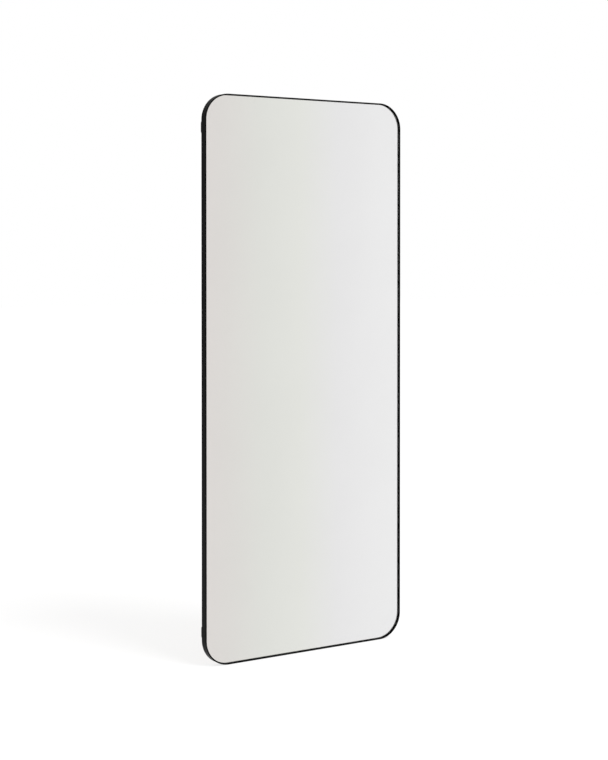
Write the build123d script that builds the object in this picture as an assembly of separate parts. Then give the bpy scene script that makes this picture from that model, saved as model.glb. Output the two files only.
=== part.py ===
from build123d import *
import math
import os

# Full-length wall mirror: one silvered pane with rounded corners in a thin flat-bar frame,
# bonded to a backing board that is screwed to tabs welded inside the frame. Rubber bumpers hold
# the back off the wall, and the mirror hangs, upright or on its side, from hinged rings.
# Millimetres. +X is to the right seen from the front, +Z is up and the front faces -Y.
# The origin is the centre of the outline, on the wall plane that the four bumpers touch.

# Frame bar, bent to one ring and welded shut
mirror_height = 1829.0
mirror_width = 762.0
corner_radius = 85.0            # outside of the bar
bar_thickness = 4.0
bar_front_round = 0.8
bar_rear_round = 0.5

# Through the depth, from the front of the bar to its rear
glass_recess = 3.5              # front of the bar to the pane
glass_thickness = 5.0
film_thickness = 0.2
bond_thickness = 1.8
board_thickness = 9.5
rear_recess = 7.0               # back of the board to the rear of the bar
bumper_height = 5.0             # rear of the bar to the wall

# Pane, film and board across the opening
glass_gap = 0.4                 # all round, to the bar
glass_arris = 0.3
film_margin = 1.5               # from the pane's edge
board_gap = 1.0                 # all round, to the bar
board_chamfer = 0.8

# Foam mounting tape in upright strips, with dabs of mastic between them
strip_width = 25.0
strip_count = 4
strip_from_side = 68.0          # pane's side to the middle of the outer strips
strip_from_end = 89.0           # pane's end to the strips' ends
dab_diameter = 44.0
dab_rows = 5
dab_from_end = 209.0            # pane's end to the middle of the end rows

# Tabs that carry the board
tab_length = 32.0
tab_reach = 18.0
tab_thickness = 2.0
tab_corner = 4.0
tab_hole_from_bar = 11.0
tab_hole_clearance = 0.45
side_tab_count = 5
side_tab_from_end = 254.5       # mirror's end to the middle of the end tabs
end_tab_count = 2
end_tab_from_side = 181.0

# Screws into the board, for the tabs and for the hangers
screw_shank = 3.5
screw_head = 7.4
screw_head_height = 2.2
screw_head_crown = 0.9          # rounded rim of the head
screw_point = 1.6               # length of the tapered point
screw_cover = 1.6               # board left in front of the point
pilot_clearance = 0.05          # round the shank and past the point
recess_share = 0.55             # cross recess, as a share of the head

# Bumpers, each screwed to a lug welded in the frame
bumper_length = 40.0
bumper_flat = 22.0              # length that touches the wall
bumper_inset = 0.5              # outside of the bar to the bumper
bumper_screw_from_bar = 4.7     # inside of the bar to the screw's axis
bumper_round = 1.2
bumper_web = 1.9                # rubber under the screw's head
bumper_well_clearance = 0.6     # round the screw's head
lug_end_margin = 4.0            # past each end of the bumper
lug_reach = 20.0
lug_thickness = 2.5
lug_corner = 4.0
lug_screw_shank = 4.0
lug_screw_head = 7.8
lug_screw_short = 2.5           # screw's end to the board
lug_hole_clearance = 0.05

# Hangers: a strap folded round the hinge bar of a D-shaped ring
ring_wire = 4.0
ring_reach = 20.0               # middle of the hinge bar to the middle of the bow
ring_corner = 4.0               # middle of the wire, at the ends of the hinge bar
ring_clearance = 0.1            # round the hinge bar, in the fold
ring_side_gap = 1.0             # strap's side to the start of the ring's corner
ring_rest_gap = 0.05            # ring to strap, at rest
strap_sheet = 1.2
strap_width = 16.0
strap_neck_round = 1.5
strap_hole_clearance = 0.25
strap_hole_pitch = 18.0
strap_screw_gap = 0.8           # ring's bow to the near screw's head
upright_hanger_from_top = 305.0
upright_hanger_from_side = 70.0
sideways_hanger_from_side = 56.0
sideways_hanger_from_end = 410.0

# Planes across the depth, as Y values
bar_rear_y = -bumper_height
board_rear_y = bar_rear_y - rear_recess
board_front_y = board_rear_y - board_thickness
film_rear_y = board_front_y - bond_thickness
glass_rear_y = film_rear_y - film_thickness
glass_front_y = glass_rear_y - glass_thickness
bar_front_y = glass_front_y - glass_recess
tab_rear_y = board_rear_y + tab_thickness

# Inside faces of the bar, and the edges of the pane
inner_half_width = mirror_width / 2 - bar_thickness
inner_half_height = mirror_height / 2 - bar_thickness
pane_half_width = inner_half_width - glass_gap
pane_half_height = inner_half_height - glass_gap

# A bumper is as wide on both sides of its screw
bumper_width = 2 * (bar_thickness + bumper_screw_from_bar - bumper_inset)
bumper_well = lug_screw_head + 2 * bumper_well_clearance
lug_length = bumper_length + 2 * lug_end_margin

# The strap is two layers of sheet, and its fold stands on the board
strap_thickness = 2 * strap_sheet
fold_inner_radius = ring_wire / 2 + ring_clearance
fold_outer_radius = fold_inner_radius + strap_sheet
hinge_y = board_rear_y + fold_outer_radius
strap_near_hole = ring_reach + ring_wire / 2 + strap_screw_gap + screw_head / 2
strap_far_hole = strap_near_hole + strap_hole_pitch

# The ring's bow is a half circle, and at rest it lies over the strap's two edges
ring_half_width = strap_width / 2 + ring_side_gap + ring_corner
ring_side_end = ring_reach - ring_half_width
ring_reach_at_strap = ring_side_end + math.sqrt(ring_half_width**2 - (strap_width / 2) ** 2)
ring_rise = strap_thickness + ring_rest_gap + ring_wire / 2 - fold_outer_radius
ring_lean = math.degrees(math.asin(ring_rise / ring_reach_at_strap))


def slab(outline, rear_y, thickness):
    """An outline drawn in X and Z, made solid from its rear plane towards the front."""
    return extrude(Plane.XZ.offset(-rear_y) * outline, thickness)


def inset_outline(inset):
    """The mirror's rounded outline, drawn in by the same distance all round."""
    return RectangleRounded(
        mirror_width - 2 * inset, mirror_height - 2 * inset, corner_radius - inset
    )


def edges_at(shape, y):
    """The edges of a shape that lie in the plane at this Y."""
    return shape.edges().filter_by_position(Axis.Y, y - 0.01, y + 0.01)


def rear_cylinder(diameter, rear_y, length, x=0.0, z=0.0):
    """A cylinder along Y, from its rear end towards the front."""
    return Pos(x, 0, z) * slab(Circle(diameter / 2), rear_y, length)


def spread(count, half_span):
    """Evenly spaced places from one end of a span to the other, centred on zero."""
    if count < 2:
        return [0.0] * count
    return [half_span * (2 * i / (count - 1) - 1) for i in range(count)]


def middles(places):
    """The places midway between neighbours."""
    return [(a + b) / 2 for a, b in zip(places, places[1:])]


# Places

def tab_places():
    """Each tab's x and z on the bar's inside face, and the turn about Y that points it inwards."""
    sides = [
        (side * inner_half_width, z, 90 * side)
        for side in (-1, 1)
        for z in spread(side_tab_count, mirror_height / 2 - side_tab_from_end)
    ]
    ends = [
        (x, end * inner_half_height, 90 - 90 * end)
        for end in (-1, 1)
        for x in spread(end_tab_count, mirror_width / 2 - end_tab_from_side)
    ]
    return sides + ends


def bumper_places():
    """Name, x and z of each bumper's screw. The lugs start where the bar's corners end."""
    x = inner_half_width - bumper_screw_from_bar
    z = mirror_height / 2 - corner_radius - lug_length / 2
    return [
        (f"{level}_{side}", across * x, up * z)
        for level, up in (("upper", 1), ("lower", -1))
        for side, across in (("left", -1), ("right", 1))
    ]


def hanger_places():
    """Name, x and z of each hinge axis, and the hanger's turn about Y from hanging down."""
    upright_x = mirror_width / 2 - upright_hanger_from_side
    upright_z = mirror_height / 2 - upright_hanger_from_top
    sideways_x = mirror_width / 2 - sideways_hanger_from_side
    sideways_z = mirror_height / 2 - sideways_hanger_from_end
    return [
        ("upright_left", -upright_x, upright_z, 0),
        ("upright_right", upright_x, upright_z, 0),
        ("sideways_upper", sideways_x, sideways_z, 90),
        ("sideways_lower", sideways_x, -sideways_z, 90),
    ]


def below(x, z, angle, distance):
    """The x and z at a distance below a place, after the place is turned about Y."""
    place = Pos(x, 0, z) * Rot(0, angle, 0) * Pos(0, 0, -distance)
    return place.position.X, place.position.Z


def tab_screw_places():
    """x and z of the screw through each tab."""
    return [below(x, z, angle, tab_hole_from_bar) for x, z, angle in tab_places()]


def hanger_screw_places():
    """x and z of the two screws through each strap."""
    return [
        below(x, z, angle, distance)
        for _, x, z, angle in hanger_places()
        for distance in (strap_near_hole, strap_far_hole)
    ]


# Frame

def frame_bar():
    """The flat bar, edge on to the front, as one closed ring with its edges eased."""
    outline = inset_outline(0) - inset_outline(bar_thickness)
    bar = slab(outline, bar_rear_y, bar_rear_y - bar_front_y)
    bar = fillet(edges_at(bar, bar_front_y), bar_front_round)
    return fillet(edges_at(bar, bar_rear_y), bar_rear_round)


def board_tabs():
    """Tabs welded to the inside of the bar, flat on the back of the board."""
    blank = Pos(0, -tab_reach / 2) * Rectangle(tab_length, tab_reach)
    plate = fillet(blank.vertices().group_by(Axis.Y)[0], tab_corner)
    plate -= Pos(0, -tab_hole_from_bar) * Circle(screw_shank / 2 + tab_hole_clearance)
    tab = slab(plate, tab_rear_y, tab_thickness)
    return [Pos(x, 0, z) * Rot(0, angle, 0) * tab for x, z, angle in tab_places()]


def bumper_lugs():
    """Lugs welded inside the bar, flush with its rear edge, each with a hole for its screw."""
    lugs = []
    for _, x, z in bumper_places():
        side = math.copysign(1, x)
        blank = Pos(side * (inner_half_width - lug_reach / 2), z) * Rectangle(lug_reach, lug_length)
        plate = fillet(blank.vertices().group_by(Axis.X)[0 if side > 0 else -1], lug_corner)
        plate -= Pos(x, z) * Circle(lug_screw_shank / 2 + lug_hole_clearance)
        lugs.append(slab(plate, bar_rear_y, lug_thickness))
    return lugs


# Pane and board

def mirror_pane():
    """The silvered pane, its edges ground and its rims eased."""
    pane = slab(inset_outline(bar_thickness + glass_gap), glass_rear_y, glass_thickness)
    return chamfer(edges_at(pane, glass_front_y) + edges_at(pane, glass_rear_y), glass_arris)


def safety_film():
    """Film over the back of the pane, which holds the pieces if it breaks."""
    return slab(inset_outline(bar_thickness + glass_gap + film_margin), film_rear_y, film_thickness)


def strip_places():
    """x of each upright strip of tape."""
    return spread(strip_count, pane_half_width - strip_from_side)


def tape_strips():
    """Strips of foam tape between the film and the board."""
    length = 2 * (pane_half_height - strip_from_end)
    strip = slab(Rectangle(strip_width, length), board_front_y, bond_thickness)
    return [Pos(x, 0, 0) * strip for x in strip_places()]


def mastic_dabs():
    """Dabs of mirror mastic, pressed flat, midway between the strips."""
    return [
        rear_cylinder(dab_diameter, board_front_y, bond_thickness, x, z)
        for x in middles(strip_places())
        for z in spread(dab_rows, pane_half_height - dab_from_end)
    ]


def backing_board():
    """The board, with its rear rim chamfered and a pilot hole for each screw."""
    board = slab(inset_outline(bar_thickness + board_gap), board_rear_y, board_thickness)
    board = chamfer(edges_at(board, board_rear_y), board_chamfer)
    pilot = screw_shank + 2 * pilot_clearance
    depth = board_thickness - screw_cover + pilot_clearance
    places = tab_screw_places() + hanger_screw_places()
    return board - [rear_cylinder(pilot, board_rear_y, depth, x, z) for x, z in places]


# Fasteners

def pan_screw(seat_y, shank, length, head):
    """A pan-headed screw whose head sits on the plane at this Y, pointing to the front."""
    top_y = seat_y + screw_head_height
    cap = rear_cylinder(head, top_y, screw_head_height)
    cap = fillet(edges_at(cap, top_y), screw_head_crown)
    stem = rear_cylinder(shank, seat_y, length)
    stem = chamfer(edges_at(stem, seat_y - length), screw_point, shank / 4)
    width = head * recess_share
    arm = slab(Rectangle(width, width / 4), top_y, screw_head_height / 2)
    return cap + stem - arm - Rot(0, 90, 0) * arm


def board_screws(seat_thickness, places):
    """Screws into the board through a seat of this thickness."""
    length = seat_thickness + board_thickness - screw_cover
    screw = pan_screw(board_rear_y + seat_thickness, screw_shank, length, screw_head)
    return [Pos(x, 0, z) * screw for x, z in places]


def bumper_screws():
    """The screws that hold the bumpers, each sunk in its bumper's well."""
    length = bumper_web + rear_recess - lug_screw_short
    screw = pan_screw(bar_rear_y + bumper_web, lug_screw_shank, length, lug_screw_head)
    return [Pos(x, 0, z) * screw for _, x, z in bumper_places()]


# Bumpers

def bumper_profile():
    """A bumper from the side: it rises on an arc from each end to its flat."""
    half, flat = bumper_length / 2, bumper_flat / 2
    run = half - flat
    arc_radius = (run**2 + bumper_height**2) / (2 * bumper_height)
    middle_turn = math.asin(run / arc_radius) / 2
    along = flat + arc_radius * math.sin(middle_turn)
    high = bumper_height - arc_radius * (1 - math.cos(middle_turn))
    outline = Curve() + [
        Line((0, -half), (0, half)),
        ThreePointArc((0, half), (high, along), (bumper_height, flat)),
        Line((bumper_height, flat), (bumper_height, -flat)),
        ThreePointArc((bumper_height, -flat), (high, -along), (0, -half)),
    ]
    return make_face(outline)


def bumper():
    """A rubber pad on the rear of the frame, with a well for its screw's head."""
    profile = Plane.YZ * Pos(bar_rear_y, 0) * bumper_profile()
    pad = extrude(profile, bumper_width / 2, both=True)
    rims = pad.edges().group_by(Axis.X)
    proud = (rims[0] + rims[-1]).filter_by_position(Axis.Y, bar_rear_y + 0.01, 1)
    pad = fillet(proud, bumper_round)
    well = rear_cylinder(bumper_well, 0, bumper_height - bumper_web)
    hole = rear_cylinder(lug_screw_shank + 2 * lug_hole_clearance, 0, bumper_height)
    return pad - well - hole


# Hangers, each drawn with its hinge axis along X at the origin and its strap hanging down

def hanger_strap():
    """A strap folded over the hinge bar, its two layers flat on the board."""
    front = -fold_outer_radius
    rear = front + strap_thickness
    web = Pos(front + strap_thickness / 2, -strap_far_hole / 2) * Rectangle(
        strap_thickness, strap_far_hole
    )
    side = Circle(fold_outer_radius) + web
    neck = side.vertices().sort_by_distance(Vector(rear, -fold_outer_radius))[0]
    side = fillet(neck, strap_neck_round) - Circle(fold_inner_radius)
    strap = extrude(Plane.YZ * side, strap_width / 2, both=True)
    strap += rear_cylinder(strap_width, rear, strap_thickness, 0, -strap_far_hole)
    hole = screw_shank + 2 * strap_hole_clearance
    for distance in (strap_near_hole, strap_far_hole):
        strap -= rear_cylinder(hole, rear, strap_thickness, 0, -distance)
    return strap


def ring_path():
    """The middle of the ring's wire, from the middle of the hinge bar and back to it."""
    half, reach, end = ring_half_width, ring_reach, ring_side_end
    bar_end = half - ring_corner
    bend_x = bar_end + ring_corner * math.sqrt(0.5)
    bend_z = ring_corner * (math.sqrt(0.5) - 1)
    path = Curve() + [
        Line((0, 0), (bar_end, 0)),
        ThreePointArc((bar_end, 0), (bend_x, bend_z), (half, -ring_corner)),
        Line((half, -ring_corner), (half, -end)),
        ThreePointArc((half, -end), (0, -reach), (-half, -end)),
        Line((-half, -end), (-half, -ring_corner)),
        ThreePointArc((-half, -ring_corner), (-bend_x, bend_z), (-bar_end, 0)),
        Line((-bar_end, 0), (0, 0)),
    ]
    return Plane.XZ * path


def hanger_ring():
    """A ring of round wire, hanging over its strap and leant back until it touches it."""
    section = Plane.YZ * Circle(ring_wire / 2)
    return Rot(ring_lean, 0, 0) * sweep(section, ring_path())


def on_the_board(shape, x, z, angle):
    """A hanger's piece, put at its hinge axis."""
    return Pos(x, hinge_y, z) * Rot(0, angle, 0) * shape


def write(name, shape):
    """One file for one node. A list of solids is a group of separate solids."""
    if isinstance(shape, list):
        shape = Compound(children=shape)
    export_step(shape, f"parts/{name}.step")


def main():
    os.makedirs("parts", exist_ok=True)
    write("frame_bar", frame_bar())
    write("board_tabs", board_tabs())
    write("bumper_lugs", bumper_lugs())
    write("mirror_pane", mirror_pane())
    write("safety_film", safety_film())
    write("tape_strips", tape_strips())
    write("mastic_dabs", mastic_dabs())
    write("backing_board", backing_board())
    write("tab_screws", board_screws(tab_thickness, tab_screw_places()))
    write("hanger_screws", board_screws(strap_thickness, hanger_screw_places()))
    write("bumper_screws", bumper_screws())
    pad = bumper()
    for name, x, z in bumper_places():
        write(f"bumper_{name}", Pos(x, 0, z) * pad)
    strap, ring = hanger_strap(), hanger_ring()
    for name, x, z, angle in hanger_places():
        write(f"hanger_strap_{name}", on_the_board(strap, x, z, angle))
        write(f"hanger_ring_{name}", on_the_board(ring, x, z, angle))


main()
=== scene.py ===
import math

import bmesh
import bpy
import numpy as np
from mathutils import Euler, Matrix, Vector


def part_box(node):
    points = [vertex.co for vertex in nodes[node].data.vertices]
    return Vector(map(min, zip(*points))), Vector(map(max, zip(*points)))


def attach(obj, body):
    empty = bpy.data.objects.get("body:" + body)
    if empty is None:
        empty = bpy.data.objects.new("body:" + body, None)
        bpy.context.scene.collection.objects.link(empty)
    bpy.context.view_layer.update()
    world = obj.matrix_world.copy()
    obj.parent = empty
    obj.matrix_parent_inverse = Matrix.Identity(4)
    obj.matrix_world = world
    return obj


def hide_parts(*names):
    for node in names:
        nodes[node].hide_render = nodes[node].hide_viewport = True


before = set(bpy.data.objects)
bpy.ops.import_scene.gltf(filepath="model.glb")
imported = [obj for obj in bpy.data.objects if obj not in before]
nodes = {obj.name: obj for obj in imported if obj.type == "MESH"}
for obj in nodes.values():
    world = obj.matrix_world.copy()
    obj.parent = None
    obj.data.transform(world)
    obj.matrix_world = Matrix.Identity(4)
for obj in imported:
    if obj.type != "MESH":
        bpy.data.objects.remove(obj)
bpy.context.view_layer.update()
scene = bpy.context.scene
print("frame loaded:", len(nodes), "nodes")


# Shader maths: a socket that adds a Math node for each operator it meets
class Shade:
    def __init__(self, tree, socket):
        self.tree = tree
        self.socket = socket

    def maths(self, operation, *values):
        return addNode(self.tree, "ShaderNodeMath", {"operation": operation},
                       dict(enumerate(values)))

    def __add__(self, other):
        return self.maths("ADD", self, other)

    def __radd__(self, other):
        return self.maths("ADD", other, self)

    def __sub__(self, other):
        return self.maths("SUBTRACT", self, other)

    def __rsub__(self, other):
        return self.maths("SUBTRACT", other, self)

    def __mul__(self, other):
        return self.maths("MULTIPLY", self, other)

    def __rmul__(self, other):
        return self.maths("MULTIPLY", other, self)

    # 0 below low, 1 above high, with a soft step between them; low may be the larger
    def step(self, low, high):
        return addNode(self.tree, "ShaderNodeMapRange", {"interpolation_type": "SMOOTHSTEP"},
                       {"Value": self, "From Min": low, "From Max": high})


# One node: its settings first, then what goes into its sockets, by name or by number
def addNode(tree, kind, settings, inputs, output=0):
    node = tree.nodes.new(kind)
    for name, value in settings.items():
        if name == "stops":
            fillRamp(node.color_ramp, value)
        else:
            setattr(node, name, value)
    for name, value in inputs.items():
        if isinstance(value, Shade):
            tree.links.new(value.socket, node.inputs[name])
        else:
            node.inputs[name].default_value = value
    return Shade(tree, node.outputs[output])


def fillRamp(ramp, stops):
    while len(ramp.elements) < len(stops):
        ramp.elements.new(0.5)
    for element, (position, colour) in zip(ramp.elements, sorted(stops)):
        element.position = position
        element.color = (*colour, 1.0)


def newMaterial(name, constants):
    material = bpy.data.materials.new(name)
    material.use_nodes = True
    shader = material.node_tree.nodes["Principled BSDF"]
    for socket, value in constants.items():
        shader.inputs[socket].default_value = value
    return material, material.node_tree


# Links what varies over the surface; relief is a height, its depth in metres and its strength
def drive(material, colour, roughness, relief=None):
    tree = material.node_tree
    shader = tree.nodes["Principled BSDF"]
    tree.links.new(colour.socket, shader.inputs["Base Color"])
    tree.links.new(roughness.socket, shader.inputs["Roughness"])
    if relief:
        height, depth, strength = relief
        bump = addNode(tree, "ShaderNodeBump", {},
                       {"Strength": strength, "Distance": depth, "Height": height})
        tree.links.new(bump.socket, shader.inputs["Normal"])
    return material


def place(tree):
    return addNode(tree, "ShaderNodeTexCoord", {}, {}, "Object")


def axes(point, names):
    return [addNode(point.tree, "ShaderNodeSeparateXYZ", {}, {0: point}, name) for name in names]


# Lumps in the object's own metres; a squeeze below 1 draws them out along that axis
def noise(tree, perMetre, detail=2.0, rough=0.5, squeeze=None):
    point = place(tree)
    if squeeze:
        point = addNode(tree, "ShaderNodeMapping", {}, {"Vector": point, "Scale": squeeze})
    return addNode(tree, "ShaderNodeTexNoise", {},
                   {"Vector": point, "Scale": perMetre, "Detail": detail, "Roughness": rough})


def mixColour(tree, share, first, second):
    return addNode(tree, "ShaderNodeMix", {"data_type": "RGBA"},
                   {"Factor": share, 6: first, 7: second}, 2)


def rgb(red, green, blue):
    return (red, green, blue, 1.0)


def grey(level):
    return rgb(level, level, level)


# Black powder coat: satin, with a fine orange peel, edges rubbed a little lighter, and the flat
# ground band across the foot of the bar where its two ends are welded together
coat = {
    "deep": rgb(0.0016, 0.0016, 0.0017),
    "thin": rgb(0.003, 0.003, 0.0032),
    "rubbed": rgb(0.022, 0.022, 0.023),
    "specular": 0.04,
    "roughness": 0.4,
    "blotches": {"perMetre": 14.0, "detail": 3.0},
    "blotchRoughness": 0.16,
    "scuffs": {"perMetre": 160.0, "detail": 4.0, "rough": 0.6},
    "scuffStep": (0.58, 0.74),
    "scuffShare": 0.22,
    "scuffPolish": 0.1,
    "scratches": {"perMetre": 90.0, "squeeze": (30.0, 30.0, 0.6)},
    "scratchStep": (0.66, 0.72),
    "scratchShare": 0.04,
    "scratchRoughness": 0.08,
    "peel": {"perMetre": 1100.0},
    "peelDepth": 0.00003,
    "peelStrength": 0.6,
    "seamSides": (0.003, 0.0018),       # metres from the middle of the foot
    "seamTop": (-0.9, -0.905),          # height, from the mirror's middle
    "seamPolish": 0.08,
}


def powderCoat():
    material, tree = newMaterial("blackPowderCoat", {"Specular IOR Level": coat["specular"]})
    x, z = axes(place(tree), "XZ")
    seam = x.maths("ABSOLUTE", x).step(*coat["seamSides"]) * z.step(*coat["seamTop"])
    edge = addNode(tree, "ShaderNodeAttribute", {"attribute_name": "edgeWear"}, {}, "Fac")
    scuffs = edge * noise(tree, **coat["scuffs"]).step(*coat["scuffStep"])
    scratches = noise(tree, **coat["scratches"]).step(*coat["scratchStep"])
    blotches = noise(tree, **coat["blotches"])
    body = mixColour(tree, blotches, coat["deep"], coat["thin"])
    worn = scuffs * coat["scuffShare"] + scratches * coat["scratchShare"]
    colour = mixColour(tree, worn, body, coat["rubbed"])
    roughness = coat["roughness"] + (blotches - 0.5) * coat["blotchRoughness"]
    roughness = roughness + scratches * coat["scratchRoughness"]
    roughness = roughness - scuffs * coat["scuffPolish"] - seam * coat["seamPolish"]
    height = noise(tree, **coat["peel"]) + seam
    return drive(material, colour, roughness, (height, coat["peelDepth"], coat["peelStrength"]))


# Front of the pane: clear glass with faint smears
glass = {
    "tint": rgb(0.95, 0.965, 0.955),
    "index": 1.52,
    "smears": {"perMetre": 5.0, "detail": 5.0, "rough": 0.6, "squeeze": (1.0, 1.0, 0.35)},
    "smearStep": (0.5, 0.75),
    "smearRoughness": 0.012,
}


def clearGlass():
    material, tree = newMaterial("clearGlass", {
        "Base Color": glass["tint"], "Transmission Weight": 1.0, "IOR": glass["index"]})
    smears = noise(tree, **glass["smears"]).step(*glass["smearStep"])
    roughness = smears * glass["smearRoughness"]
    tree.links.new(roughness.socket, tree.nodes["Principled BSDF"].inputs["Roughness"])
    return material


# Edge of the pane: ground matt. Its colour is painted shade, near black for the shaded gap between
# pane and bar and for the dark bar that would show through the glass
paneEdge = {
    # painted shade: both edge colours are set near black to stand in for the gap's shade
    "dark": rgb(0.003, 0.005, 0.004),
    "pale": rgb(0.008, 0.013, 0.011),
    "bands": {"perMetre": 240.0},
    "specular": 0.1,
    "roughness": 0.5,
    "grain": {"perMetre": 2600.0, "detail": 3.0},
    "grainRoughness": 0.25,
    "grainDepth": 0.00003,
    "grainStrength": 0.5,
}


def paintedShadeGroundEdge():
    material, tree = newMaterial("groundGlassEdgePaintedShade", {"Specular IOR Level": paneEdge["specular"]})
    grain = noise(tree, **paneEdge["grain"])
    bands = noise(tree, **paneEdge["bands"])
    # painted shade: the edge's near-black colour, in faint random bands
    colour = mixColour(tree, bands, paneEdge["dark"], paneEdge["pale"])
    roughness = paneEdge["roughness"] + grain * paneEdge["grainRoughness"]
    return drive(material, colour, roughness,
                 (grain, paneEdge["grainDepth"], paneEdge["grainStrength"]))


# Back of the pane: silver, a shade duller in clouds
silver = {
    "bright": rgb(0.94, 0.945, 0.94),
    "dull": rgb(0.925, 0.93, 0.925),
    "clouds": {"perMetre": 3.0, "detail": 3.0},
    "cloudStep": (0.35, 0.8),
    "cloudRoughness": 0.006,
}


def silvering():
    material, tree = newMaterial("silvering", {"Metallic": 1.0})
    clouds = noise(tree, **silver["clouds"])
    colour = mixColour(tree, clouds.step(*silver["cloudStep"]), silver["bright"], silver["dull"])
    return drive(material, colour, clouds * silver["cloudRoughness"])


# Raw fibreboard: pressed fibres, darker flecks and the faint lines of the sander
board = {
    "pale": rgb(0.42, 0.285, 0.17),
    "dark": rgb(0.27, 0.17, 0.095),
    "fleck": rgb(0.12, 0.07, 0.038),
    "specular": 0.25,
    "roughness": 0.62,
    "fibres": {"perMetre": 800.0, "detail": 5.0, "rough": 0.65, "squeeze": (1.0, 1.0, 0.4)},
    "fibreRoughness": 0.2,
    "clouds": {"perMetre": 9.0, "detail": 4.0},
    "paleStep": (0.3, 0.7),
    "paleEverywhere": 0.22,
    "paleInFibres": 0.4,
    "paleInClouds": 0.22,
    "flecks": {"perMetre": 900.0},
    "fleckStep": (0.64, 0.72),
    "fleckShare": 0.5,
    "sander": {"perMetre": 300.0, "squeeze": (1.0, 1.0, 0.01)},
    "sanderHeight": 0.3,
    "fibreHeight": 0.7,
    "depth": 0.00012,
    "strength": 0.5,
}


def fibreboard():
    material, tree = newMaterial("rawFibreboard", {"Specular IOR Level": board["specular"]})
    fibres = noise(tree, **board["fibres"])
    clouds = noise(tree, **board["clouds"])
    flecks = noise(tree, **board["flecks"]).step(*board["fleckStep"])
    pale = board["paleEverywhere"] + fibres.step(*board["paleStep"]) * board["paleInFibres"]
    pale = pale + clouds.step(*board["paleStep"]) * board["paleInClouds"]
    body = mixColour(tree, pale, board["dark"], board["pale"])
    colour = mixColour(tree, flecks * board["fleckShare"], body, board["fleck"])
    roughness = board["roughness"] + fibres * board["fibreRoughness"]
    height = fibres * board["fibreHeight"] + noise(tree, **board["sander"]) * board["sanderHeight"]
    return drive(material, colour, roughness, (height, board["depth"], board["strength"]))


# Plated steel: nickel on the hangers, bright zinc on the screws
nickel = {"bright": rgb(0.66, 0.64, 0.6), "dull": rgb(0.5, 0.48, 0.45), "roughness": 0.2}
zinc = {"bright": rgb(0.68, 0.69, 0.7), "dull": rgb(0.5, 0.51, 0.52), "roughness": 0.26}
plate = {
    "stains": {"perMetre": 120.0, "detail": 4.0, "rough": 0.6},
    "stainStep": (0.4, 0.75),
    "stainRoughness": 0.16,
    "brushing": {"perMetre": 500.0, "squeeze": (0.15, 1.0, 1.0)},
    "brushRoughness": 0.08,
    "brushDepth": 0.00002,
    "brushStrength": 0.35,
}


def platedSteel(name, metal):
    material, tree = newMaterial(name, {"Metallic": 1.0})
    stains = noise(tree, **plate["stains"]).step(*plate["stainStep"])
    brushing = noise(tree, **plate["brushing"])
    colour = mixColour(tree, stains, metal["bright"], metal["dull"])
    roughness = metal["roughness"] + stains * plate["stainRoughness"]
    roughness = roughness + brushing * plate["brushRoughness"]
    return drive(material, colour, roughness,
                 (brushing, plate["brushDepth"], plate["brushStrength"]))


# Rubber: matt black with a moulded grain and a little dust
rubber = {
    "black": rgb(0.016, 0.016, 0.016),
    "dusty": rgb(0.05, 0.048, 0.045),
    "specular": 0.3,
    "roughness": 0.66,
    "dust": {"perMetre": 60.0, "detail": 4.0, "rough": 0.6},
    "dustStep": (0.5, 0.8),
    "dustShare": 0.6,
    "dustRoughness": 0.2,
    "grain": {"perMetre": 1800.0},
    "grainDepth": 0.00005,
    "grainStrength": 0.6,
}


def mouldedRubber():
    material, tree = newMaterial("mouldedRubber", {"Specular IOR Level": rubber["specular"]})
    dust = noise(tree, **rubber["dust"]).step(*rubber["dustStep"])
    colour = mixColour(tree, dust * rubber["dustShare"], rubber["black"], rubber["dusty"])
    roughness = rubber["roughness"] + dust * rubber["dustRoughness"]
    grain = noise(tree, **rubber["grain"])
    return drive(material, colour, roughness,
                 (grain, rubber["grainDepth"], rubber["grainStrength"]))


# What lies between the pane and the board; depth is that of the pores
film = {"pale": rgb(0.82, 0.84, 0.86), "dark": rgb(0.74, 0.76, 0.78),
        "pores": {"perMetre": 90.0, "detail": 3.0}, "depth": 0.00004}
tape = {"pale": rgb(0.85, 0.85, 0.83), "dark": rgb(0.7, 0.7, 0.68),
        "pores": {"perMetre": 1400.0, "detail": 3.0}, "depth": 0.0002}
mastic = {"pale": rgb(0.74, 0.69, 0.6), "dark": rgb(0.6, 0.55, 0.47),
          "pores": {"perMetre": 260.0, "detail": 3.0}, "depth": 0.0004}
bond = {
    "specular": 0.3,
    "roughness": 0.55,
    "poreRoughness": 0.3,
    "poreStrength": 0.7,
    "poreShare": 0.5,
    "clouds": {"perMetre": 30.0, "detail": 3.0},
    "cloudShare": 0.5,
}


def softBond(name, stuff):
    material, tree = newMaterial(name, {"Specular IOR Level": bond["specular"]})
    pores = noise(tree, **stuff["pores"])
    share = pores * bond["poreShare"] + noise(tree, **bond["clouds"]) * bond["cloudShare"]
    colour = mixColour(tree, share, stuff["dark"], stuff["pale"])
    roughness = bond["roughness"] + pores * bond["poreRoughness"]
    return drive(material, colour, roughness, (pores, stuff["depth"], bond["poreStrength"]))


def dress(material, *names):
    for name in names:
        slots = nodes[name].data.materials
        slots.clear()
        slots.append(material)


def dressNodes():
    steel = powderCoat()
    hangers = [name for name in nodes if name.startswith(("hanger_strap_", "hanger_ring_"))]
    bumpers = [name for name in nodes if name.startswith(("bumper_upper_", "bumper_lower_"))]
    dress(steel, "frame_bar", "board_tabs", "bumper_lugs")
    dress(fibreboard(), "backing_board")
    dress(platedSteel("nickelPlate", nickel), *hangers)
    dress(platedSteel("zincPlate", zinc), "tab_screws", "hanger_screws", "bumper_screws")
    dress(mouldedRubber(), *bumpers)
    dress(softBond("safetyFilm", film), "safety_film")
    dress(softBond("foamTape", tape), "tape_strips")
    dress(softBond("mirrorMastic", mastic), "mastic_dabs")
    print("CAD nodes dressed")
    return steel


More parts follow.
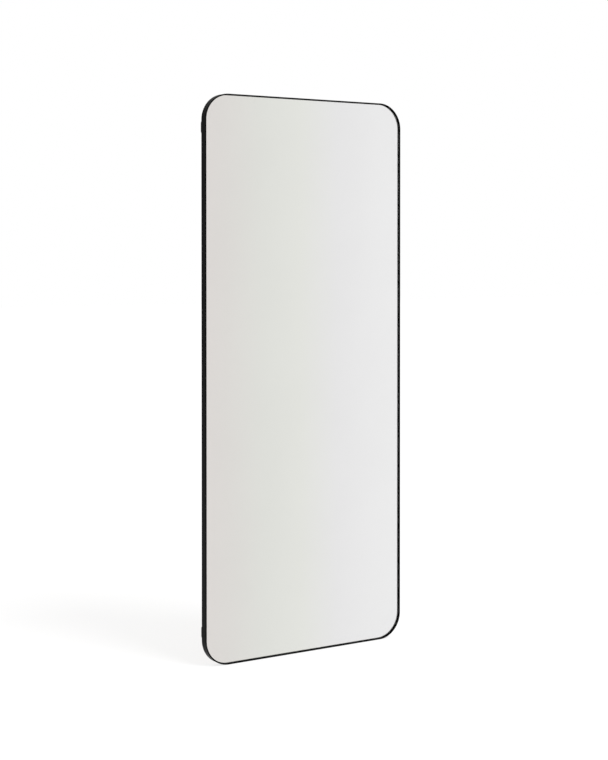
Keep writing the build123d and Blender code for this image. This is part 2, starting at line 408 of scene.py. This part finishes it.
def meshObject(name, points, faces, material):
    mesh = bpy.data.meshes.new(name)
    mesh.from_pydata(points.tolist(), [], faces)
    mesh.materials.append(material)
    mesh.update()
    made = bpy.data.objects.new(name, mesh)
    scene.collection.objects.link(made)
    return made


def shadeSmooth(made):
    made.data.polygons.foreach_set("use_smooth", np.ones(len(made.data.polygons), bool))


# On this mesh alone: an edit mode operator would also turn the CAD nodes that are selected
def turnOutwards(mesh):
    work = bmesh.new()
    work.from_mesh(mesh)
    bmesh.ops.recalc_face_normals(work, faces=work.faces)
    work.to_mesh(mesh)
    work.free()


# Loops of a rounded rectangle in X and Z, one for each inset: quarter turns about the corners'
# centres, whose radius is less by the inset. Each loop lies at its own depth in Y
def roundedLoops(high, radius, insets, depths, perCorner):
    turn = np.linspace(0.0, math.pi / 2, perCorner)
    angle = (np.arange(4)[:, None] * math.pi / 2 + turn).ravel()
    signX = np.repeat([1, -1, -1, 1], perCorner)
    signZ = np.repeat([1, 1, -1, -1], perCorner)
    drawn = radius - np.asarray(insets)[:, None]
    x = signX * (high.x - radius) + drawn * np.cos(angle)
    z = signZ * (high.z - radius) + drawn * np.sin(angle)
    y = np.broadcast_to(np.asarray(depths)[:, None], x.shape)
    return np.stack([x, y, z], 2).reshape(-1, 3), len(angle)


# Faces of a grid of rows round a closed loop, each joined to the next, and the last to the
# first where the rows close as well
def loopFaces(rows, across, closed=False):
    here = np.arange(across)
    after = (here + 1) % across
    row = np.arange(rows if closed else rows - 1)[:, None] * across
    beyond = (row + across) % (rows * across)
    return np.stack([row + here, beyond + here, beyond + after, row + after], 2).reshape(-1, 4)


# The bar: a flat strip on edge, bent round the pane and welded to itself
bar = {
    "thickness": 0.004,
    "cornerRadius": 0.085,
    "frontRound": 0.0008,
    "rearRound": 0.0005,
    "roundSteps": 6,
    "shoulder": 0.0002,         # flat kept beside each round, so that the flats shade flat
    "perCorner": 40,
}


# The bar's section: a quarter circle at each of its four edges, from the front outer edge
# backwards, with a point on the flat before and after it. Wear is 1 on the rounds, 0 on the flats
def barSection(front, rear):
    fore, aft, thickness = bar["frontRound"], bar["rearRound"], bar["thickness"]
    radius = np.array([fore, aft, aft, fore])[:, None]
    middleInset = np.array([fore, aft, thickness - aft, thickness - fore])[:, None]
    middleDepth = np.array([front + fore, rear - aft, rear - aft, front + fore])[:, None]
    quarter = np.linspace(0.0, math.pi / 2, bar["roundSteps"] + 1)
    angle = np.arange(4)[:, None] * math.pi / 2 + np.concatenate([[0.0], quarter, quarter[-1:]])
    beside = np.zeros(len(quarter) + 2)
    beside[[0, -1]] = -bar["shoulder"], bar["shoulder"]
    inset = middleInset - radius * np.sin(angle) - beside * np.cos(angle)
    depth = middleDepth - radius * np.cos(angle) + beside * np.sin(angle)
    wear = np.broadcast_to(beside == 0, angle.shape)
    return inset.ravel(), depth.ravel(), wear.ravel()


# The section carried round the outline: one loop for each of its points, and the loops closed
def bentBar(steel):
    low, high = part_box("frame_bar")
    inset, depth, wear = barSection(low.y, high.y)
    points, across = roundedLoops(high, bar["cornerRadius"], inset, depth, bar["perCorner"])
    faces = loopFaces(len(inset), across, closed=True).tolist()
    made = meshObject("bent_bar", points, faces, steel)
    shadeSmooth(made)
    worn = made.data.attributes.new("edgeWear", "FLOAT", "POINT")
    worn.data.foreach_set("value", np.repeat(wear, across).astype(np.float32))
    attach(made, "mirror")
    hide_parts("frame_bar")
    print("bar made")


pane = {
    "arris": 0.0003,
    "perCorner": 48,
    "silverAhead": 0.00004,     # keeps the silver clear of the film that it lies on
}


# The pane is four loops of its outline: the front and rear faces drawn in by the arris, and
# the two rims of the ground edge between them
def silveredPane():
    low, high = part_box("mirror_pane")
    arris, rearY = pane["arris"], high.y - pane["silverAhead"]
    radius = bar["cornerRadius"] - (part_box("frame_bar")[1].x - high.x)
    insets = [arris, 0.0, 0.0, arris]
    depths = [low.y, low.y + arris, rearY - arris, rearY]
    points, across = roundedLoops(high, radius, insets, depths, pane["perCorner"])
    edge = loopFaces(len(insets), across).tolist()
    rim = np.arange(across)
    front = rim.tolist()
    rear = (rim[::-1] + (len(insets) - 1) * across).tolist()
    made = meshObject("silvered_pane", points, edge + [front, rear], clearGlass())
    made.data.materials.append(paintedShadeGroundEdge())
    made.data.materials.append(silvering())
    slots = np.ones(len(edge) + 2, np.int32)    # the edge is slot 1, the front 0, the rear 2
    slots[-2:] = (0, 2)
    made.data.polygons.foreach_set("material_index", slots)
    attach(made, "mirror")
    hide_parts("mirror_pane")
    print("pane made")


# Weld beads: a lumpy rope along the corner where each tab meets the bar
weld = {
    "radius": 0.0014,
    "wander": 0.12,
    "wanderPoints": 9,
    "ripple": 0.14,
    "ripplePitch": 0.0021,
    "short": 0.004,         # bead's end to the tab's end
    "endPower": 12,         # the higher, the blunter the bead's ends
    "tip": 0.02,
    "along": 57,
    "round": 12,
    "tabLength": 0.032,
    "sideCount": 5,
    "sideFromEnd": 0.2545,
    "endCount": 2,
    "endFromSide": 0.181,
}


# Radius along the bead: a slow wander and ripples on a flat run that closes to a tip at both
# ends. Each ring is a circle of that radius about the corner's line
def beadPoints(start, along, across, seed):
    length = weld["tabLength"] - 2 * weld["short"]
    share = np.linspace(0.0, 1.0, weld["along"])
    random = np.random.default_rng(seed)
    drift = random.uniform(-weld["wander"], weld["wander"], weld["wanderPoints"])
    wander = np.interp(share, np.linspace(0, 1, weld["wanderPoints"]), drift)
    ripples = weld["ripple"] * np.sin(2 * math.pi * share * length / weld["ripplePitch"])
    fromMiddle = np.abs(2 * share - 1.0)
    ends = np.sqrt(np.clip(1.0 - fromMiddle ** weld["endPower"], weld["tip"] ** 2, 1.0))
    radius = weld["radius"] * (1 + wander + ripples) * ends
    angle = np.linspace(0.0, 2 * math.pi, weld["round"], endpoint=False)[None, :, None]
    ring = np.cos(angle) * across + np.sin(angle) * np.array([0, 1, 0])
    middle = start + (share[:, None] - 0.5) * length * along
    return middle[:, None, :] + radius[:, None, None] * ring


# Where each bead runs: its middle, its direction, and the direction across it
def beadPlaces():
    tabLow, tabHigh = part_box("board_tabs")
    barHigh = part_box("frame_bar")[1]
    up, right = np.array([0.0, 0, 1]), np.array([1.0, 0, 0])
    sideRun = barHigh.z - weld["sideFromEnd"]
    endRun = barHigh.x - weld["endFromSide"]
    sides = [(np.array([x, tabHigh.y, z]), up, right)
             for x in (tabLow.x, tabHigh.x)
             for z in np.linspace(-sideRun, sideRun, weld["sideCount"])]
    ends = [(np.array([x, tabHigh.y, z]), right, up)
            for z in (tabLow.z, tabHigh.z)
            for x in np.linspace(-endRun, endRun, weld["endCount"])]
    return sides + ends


def weldBeads(steel):
    places = beadPlaces()
    perBead = weld["along"] * weld["round"]
    sides = loopFaces(weld["along"], weld["round"])
    rim = np.arange(weld["round"])
    caps = np.stack([rim[::-1], rim + perBead - weld["round"]])
    points, faces = [], []
    for number, (start, along, across) in enumerate(places):
        points.append(beadPoints(start, along, across, number).reshape(-1, 3))
        faces += (sides + number * perBead).tolist() + (caps + number * perBead).tolist()
    made = meshObject("tab_welds", np.concatenate(points), faces, steel)
    shadeSmooth(made)
    turnOutwards(made.data)
    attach(made, "mirror")
    print("weld beads made:", len(places))


# Studio: a floor that keeps the shadow, a broad key from the front right, and a plain world
studio = {
    "floorSize": 60.0,
    "floorOwn": 0.98,           # the floor's white for the light that it throws back
    "floorWhite": 0.753,        # what the camera sees of the floor whatever the light
    "floorLit": 0.31,           # what it sees of the floor's own lit white, shadow and all
    "keyFrom": 23.0,            # degrees from straight in front, to the right
    "keyHeight": 46.0,          # degrees above the floor
    "keyBreadth": 33.0,
    "keyStrength": 1.88,
    "fill": 0.62,
    "fillBehind": 0.2,          # added to the fill straight behind, and taken from it in front
}


def floor():
    half = studio["floorSize"] / 2
    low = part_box("frame_bar")[0].z
    corners = half * np.array([[-1, -1, 0], [1, -1, 0], [1, 1, 0], [-1, 1, 0]])
    corners[:, 2] = low
    material = bpy.data.materials.new("studioFloor")
    material.use_nodes = True
    tree = material.node_tree
    tree.nodes.clear()
    seen = addNode(tree, "ShaderNodeLightPath", {}, {}, "Is Camera Ray")
    lit = mixColour(tree, seen, grey(studio["floorOwn"]), grey(studio["floorLit"]))
    plain = addNode(tree, "ShaderNodeBsdfDiffuse", {}, {"Color": lit})
    white = addNode(tree, "ShaderNodeEmission", {},
                    {"Color": grey(1.0), "Strength": seen * studio["floorWhite"]})
    shown = addNode(tree, "ShaderNodeAddShader", {}, {0: plain, 1: white})
    tree.links.new(shown.socket, tree.nodes.new("ShaderNodeOutputMaterial").inputs[0])
    made = meshObject("studio_floor", corners, [[0, 1, 2, 3]], material)
    made.visible_glossy = False
    made.visible_transmission = False


def keyLight():
    lamp = bpy.data.lights.new("key", "SUN")
    lamp.energy = studio["keyStrength"]
    lamp.angle = math.radians(studio["keyBreadth"])
    made = bpy.data.objects.new("key", lamp)
    down, aside = math.radians(90 - studio["keyHeight"]), math.radians(studio["keyFrom"])
    made.rotation_euler = Euler((down, 0, aside))
    made.visible_glossy = False
    made.visible_transmission = False
    scene.collection.objects.link(made)


# What shines see. Each stop is an angle from straight in front, positive to the right
surround = {
    "wall": [
        (-180, (0.52, 0.52, 0.52)),
        (-120, (0.52, 0.52, 0.52)),
        (-70, (0.42, 0.42, 0.415)),
        (-30, (0.62, 0.61, 0.60)),
        (0, (0.755, 0.715, 0.705)),
        (28.9, (0.801, 0.744, 0.735)),
        (30.3, (0.803, 0.794, 0.767)),
        (31.8, (0.846, 0.836, 0.805)),
        (32.6, (0.861, 0.851, 0.822)),
        (33.3, (0.879, 0.858, 0.873)),
        (34.4, (0.904, 0.885, 0.902)),
        (35.7, (0.944, 0.924, 0.940)),
        (60, (0.96, 0.94, 0.955)),
        (120, (0.5, 0.5, 0.5)),
        (180, (0.52, 0.52, 0.52)),
    ],
    "ground": 0.98,
    "groundBehind": (0.0, 0.35),        # only behind: in front it is as the wall
    "groundBelow": (-0.12, -0.22),
    "ceiling": 0.98,
    "ceilingAbove": (0.3, 0.6),
}


# The camera sees white, shines see the wall, ground and ceiling, and all else gets the fill
def surroundings():
    world = bpy.data.worlds.new("studio")
    scene.world = world
    world.use_nodes = True
    world.cycles.sampling_method = "NONE"
    tree = world.node_tree
    tree.nodes.clear()
    camera = addNode(tree, "ShaderNodeLightPath", {}, {}, "Is Camera Ray")
    glossy = addNode(tree, "ShaderNodeLightPath", {}, {}, "Is Glossy Ray")
    through = addNode(tree, "ShaderNodeLightPath", {}, {}, "Is Transmission Ray")
    x, y, z = axes(addNode(tree, "ShaderNodeTexCoord", {}, {}, "Generated"), "XYZ")
    share = x.maths("ARCTAN2", x, y * -1.0) * (0.5 / math.pi) + 0.5
    stops = [((angle + 180) / 360, colour) for angle, colour in surround["wall"]]
    wall = addNode(tree, "ShaderNodeValToRGB", {"stops": stops}, {0: share})
    below = y.step(*surround["groundBehind"]) * z.step(*surround["groundBelow"])
    above = z.step(*surround["ceilingAbove"])
    shine = mixColour(tree, below, wall, grey(surround["ground"]))
    shine = mixColour(tree, above, shine, grey(surround["ceiling"]))
    level = studio["fill"] + y * studio["fillBehind"]
    fill = mixColour(tree, level, grey(0.0), grey(1.0))
    lights = mixColour(tree, glossy.maths("MAXIMUM", glossy, through), fill, shine)
    colour = mixColour(tree, camera, lights, grey(1.0))
    light = addNode(tree, "ShaderNodeBackground", {}, {"Color": colour, "Strength": 1.0})
    tree.links.new(light.socket, tree.nodes.new("ShaderNodeOutputWorld").inputs[0])


# Camera: where the photograph was taken from, in the mirror's own frame
view = {
    "place": (-2.7039, -4.2657, 0.4068),
    "turn": 32.457,             # degrees to the right of straight at the wall
    "tilt": -0.788,
    "lens": 72.08,
    "shiftY": -0.14,
    "clipEnd": 200.0,
}


def photoCamera():
    lens = bpy.data.cameras.new("photo")
    lens.lens = view["lens"]
    lens.shift_y = view["shiftY"]
    lens.clip_end = view["clipEnd"]
    made = bpy.data.objects.new("photo", lens)
    made.location = view["place"]
    made.rotation_euler = Euler((math.radians(90 + view["tilt"]), 0, -math.radians(view["turn"])))
    scene.collection.objects.link(made)
    scene.camera = made


steel = dressNodes()
bentBar(steel)
silveredPane()
weldBeads(steel)
floor()
keyLight()
surroundings()
photoCamera()
scene.view_settings.view_transform = "Standard"
print("stage, light and camera set")
